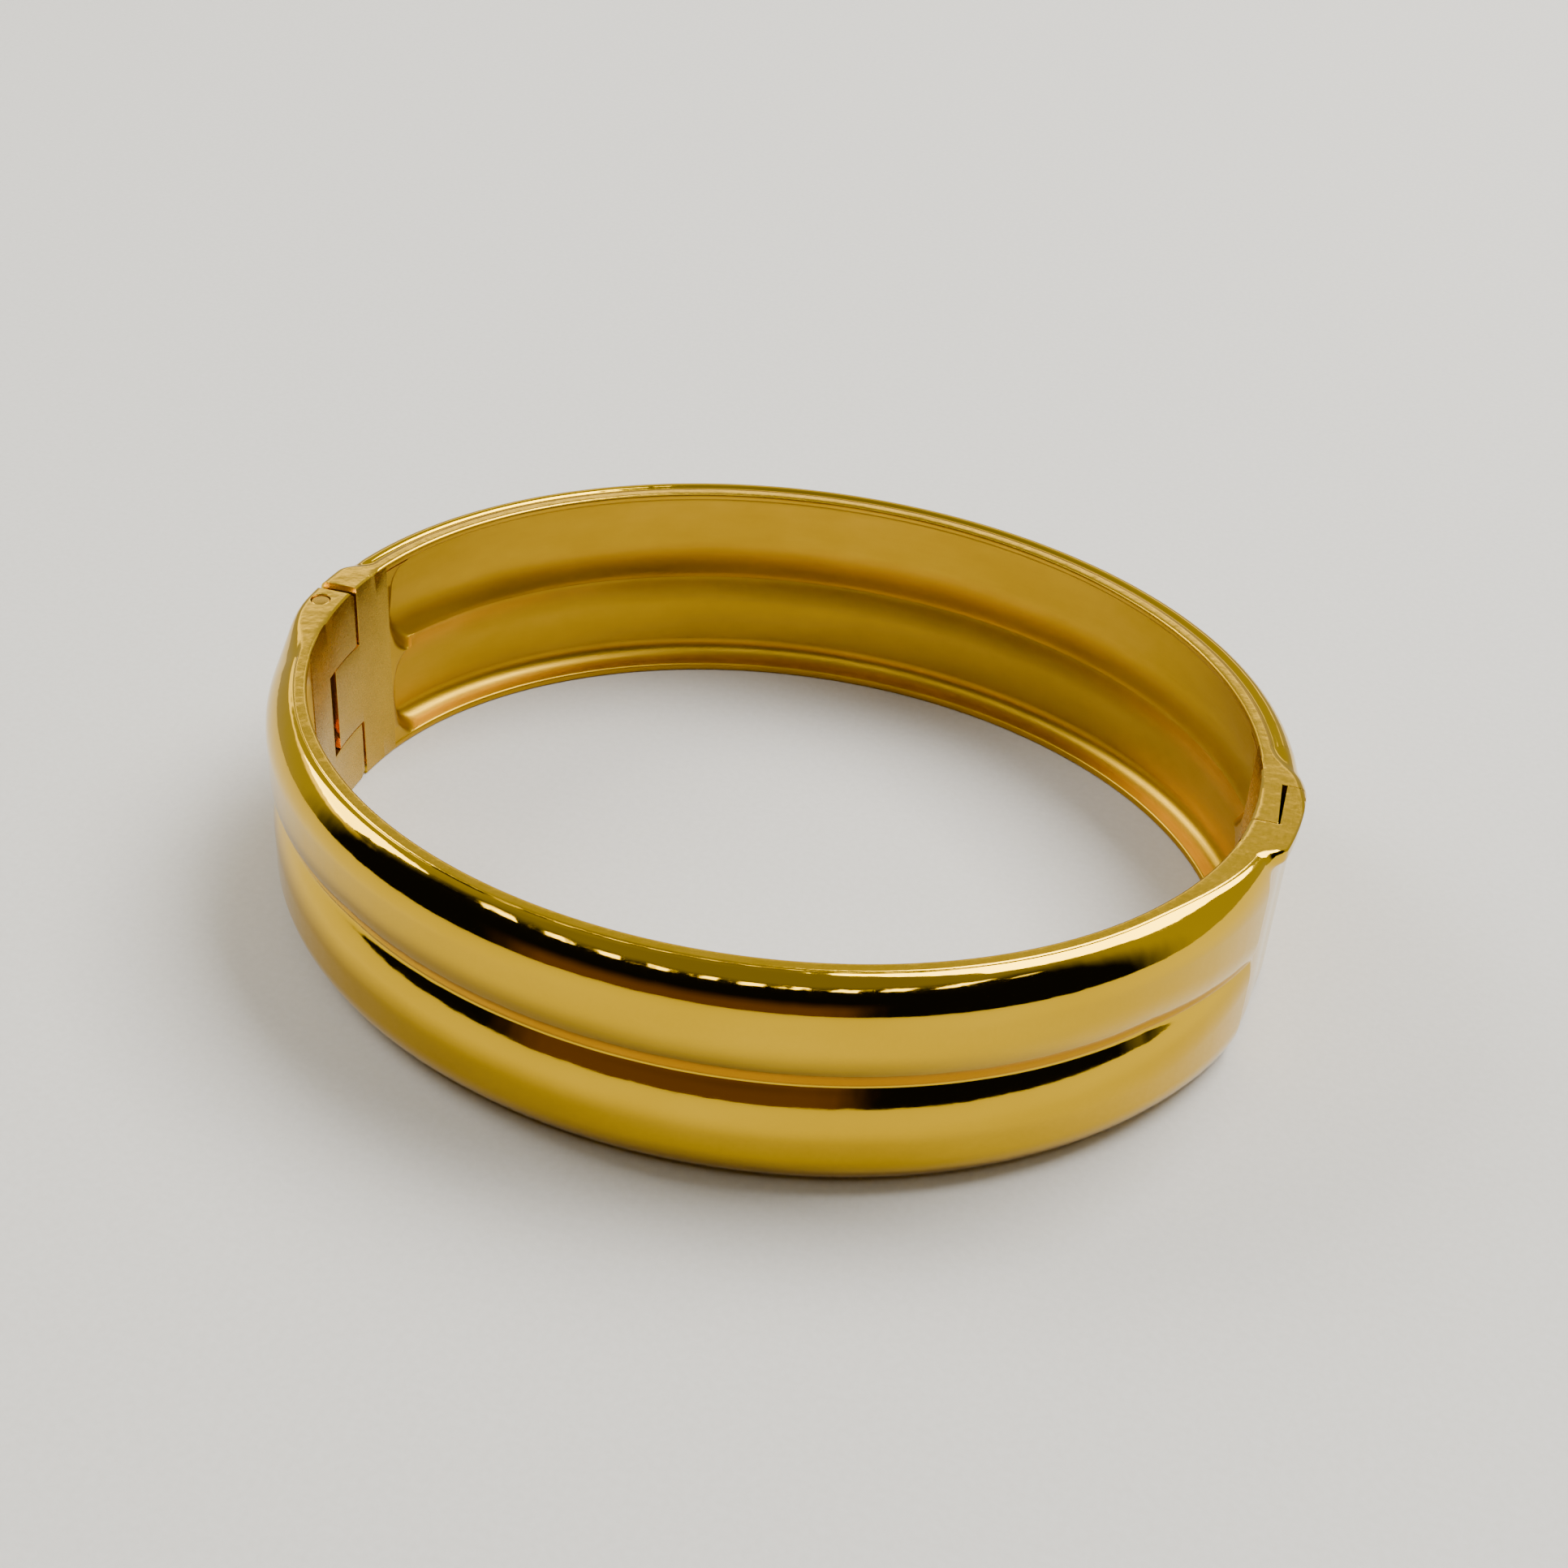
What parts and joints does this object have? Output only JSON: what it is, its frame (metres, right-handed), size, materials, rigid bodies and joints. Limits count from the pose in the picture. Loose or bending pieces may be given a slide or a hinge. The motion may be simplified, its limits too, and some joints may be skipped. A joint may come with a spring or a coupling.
{
  "type": "hinged bangle bracelet",
  "caption": "Hinged oval bangle with two rounded ribs round its outside, a pin hinge and a stepped snap clasp.",
  "frame": {"origin": "middle of the closed bangle's outline, on the plane that its lower rim lies on", "axes": "+Z is the bangle's own axis, up; +X runs from the hinge to the clasp, along the oval's length; the front half is at -Y"},
  "size_m": [0.0642, 0.0551, 0.0148],
  "materials": {
    "polished_gold": "mirror-polished gold plating outside, satin inside",
    "pin_gold": "polished gold plating",
    "spring_steel": "satin spring steel"
  },
  "bodies": {
    "front_half": {"front_band": "polished_gold", "front_hinge_block": "polished_gold", "hinge_pin": "pin_gold", "front_clasp_block": "polished_gold"},
    "back_half": {"back_band": "polished_gold", "back_hinge_block": "polished_gold", "back_clasp_block": "polished_gold", "catch_rivet": "spring_steel"},
    "catch_leaf": {"catch_spring": "spring_steel"}
  },
  "joints": [
    {"name": "hinge_open", "type": "hinge", "parent": "front_half", "child": "back_half", "pos_m": [-0.03103, 0.00016, 0.0074], "axis": [0, 0, 1], "range_deg": [0, 70]},
    {"name": "catch_flex", "type": "hinge", "parent": "back_half", "child": "catch_leaf", "pos_m": [0.02999, -0.0008, 0.0045], "axis": [0, -1, 0], "range_deg": [0, 2.2], "stiffness_Nm_per_rad": 0.15}
  ]
}
